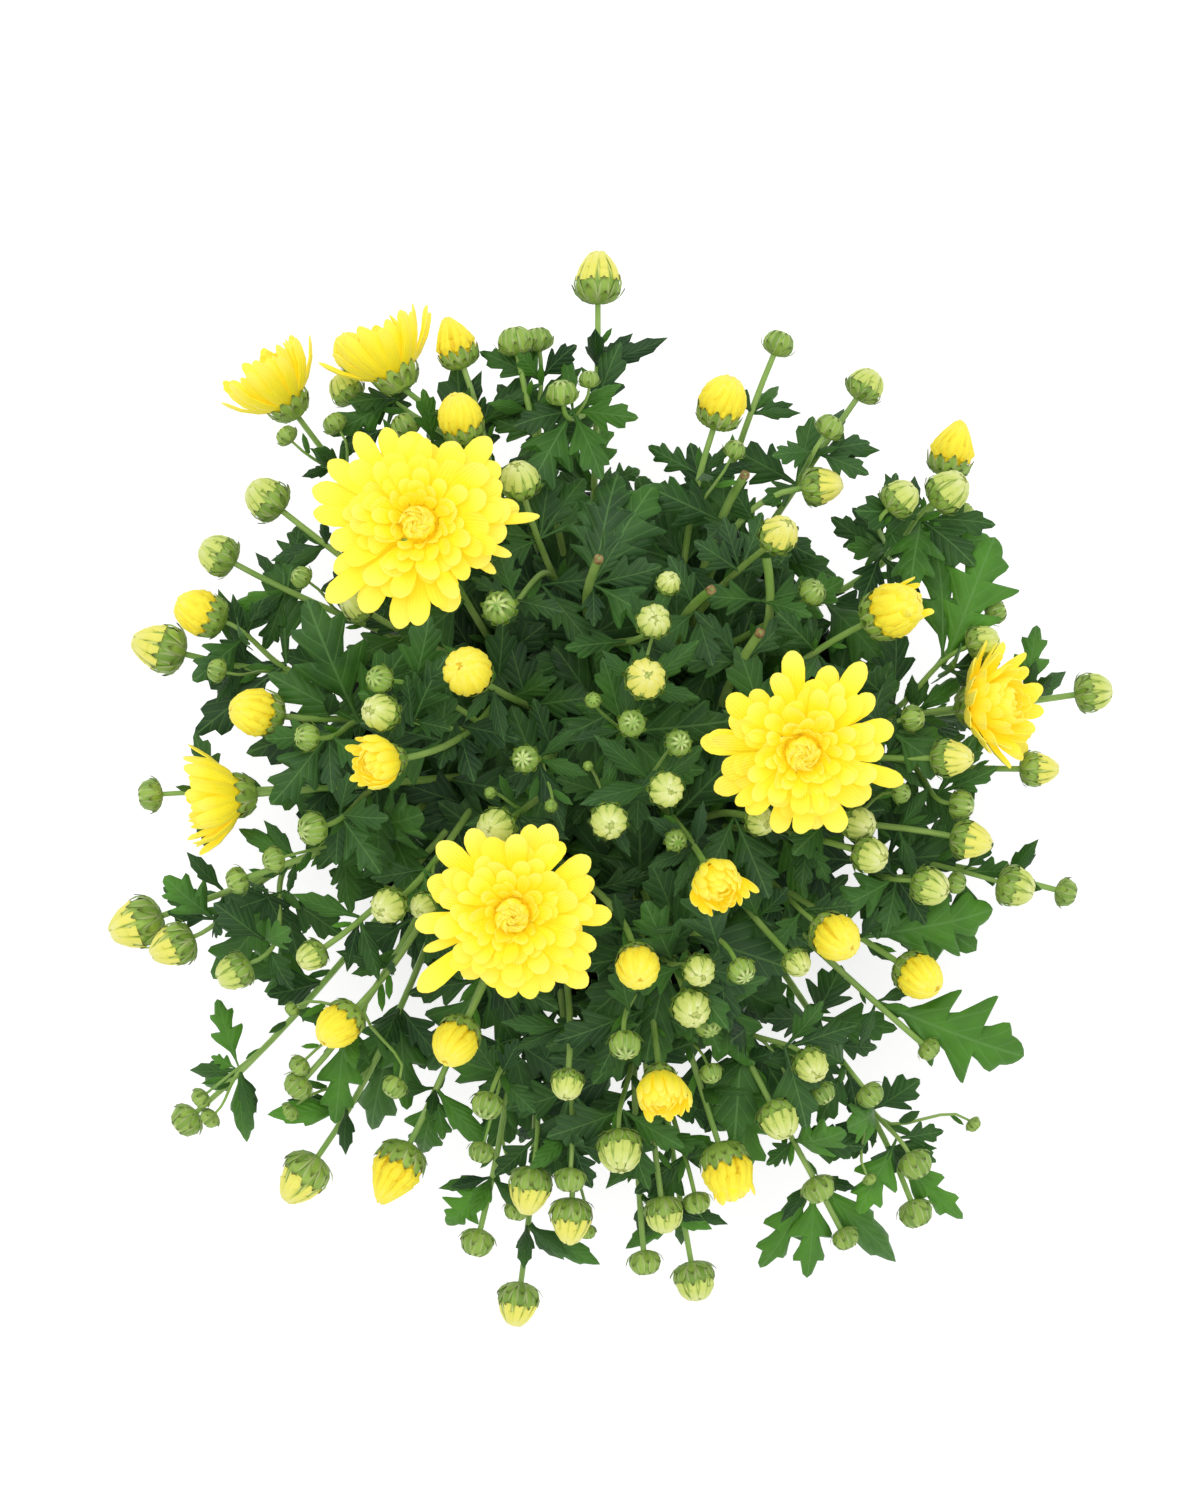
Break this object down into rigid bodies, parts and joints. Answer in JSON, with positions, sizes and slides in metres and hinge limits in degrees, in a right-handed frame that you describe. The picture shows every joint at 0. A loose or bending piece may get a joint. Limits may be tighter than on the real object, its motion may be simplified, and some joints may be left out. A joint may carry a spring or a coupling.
{
  "type": "potted chrysanthemum",
  "caption": "Bushy chrysanthemum in a round tapered nursery pot: long leafy stems carry green and pale buds, opening yellow heads and fully open double yellow blooms.",
  "frame": {"origin": "centre of the pot's underside, on the surface that it stands on", "axes": "+Z up along the pot's axis; +X and +Y across the plant, with the tallest heads seen upright when viewed from straight above with +Y up"},
  "size_m": [0.3271, 0.3517, 0.2611],
  "materials": {
    "pot_plastic": "black moulded plastic, semi-gloss",
    "soil": "dark brown moist potting soil, crumbly",
    "foliage": "green leaves, stems and buds, matt to satin",
    "petals": "bright yellow petals, satin"
  },
  "bodies": {
    "root": {"pot": "pot_plastic", "soil": "soil", "leafy_stem_north": "foliage", "leafy_stem_northeast": "foliage", "leafy_stem_east": "foliage", "leafy_stem_southeast": "foliage", "leafy_stem_south": "foliage", "leafy_stem_southwest": "foliage", "leafy_stem_west": "foliage", "leafy_stem_northwest": "foliage", "leafy_stem_centre": "foliage", "bloom_1": "petals", "bloom_2": "petals", "bloom_3": "petals", "opening_flower_1": "petals", "opening_flower_2": "petals", "opening_flower_3": "petals", "opening_flower_4": "petals", "opening_flower_5": "petals", "opening_flower_6": "petals", "opening_flower_7": "petals", "yellow_bud_1": "petals", "yellow_bud_2": "petals", "yellow_bud_3": "petals", "yellow_bud_4": "petals", "yellow_bud_5": "petals", "yellow_bud_6": "petals", "yellow_bud_7": "petals", "yellow_bud_8": "petals", "yellow_bud_9": "petals", "yellow_bud_10": "petals", "yellow_bud_11": "petals", "yellow_bud_12": "petals", "yellow_bud_13": "petals", "yellow_bud_14": "petals", "yellow_bud_15": "petals", "yellow_bud_16": "petals"}
  },
  "joints": []
}
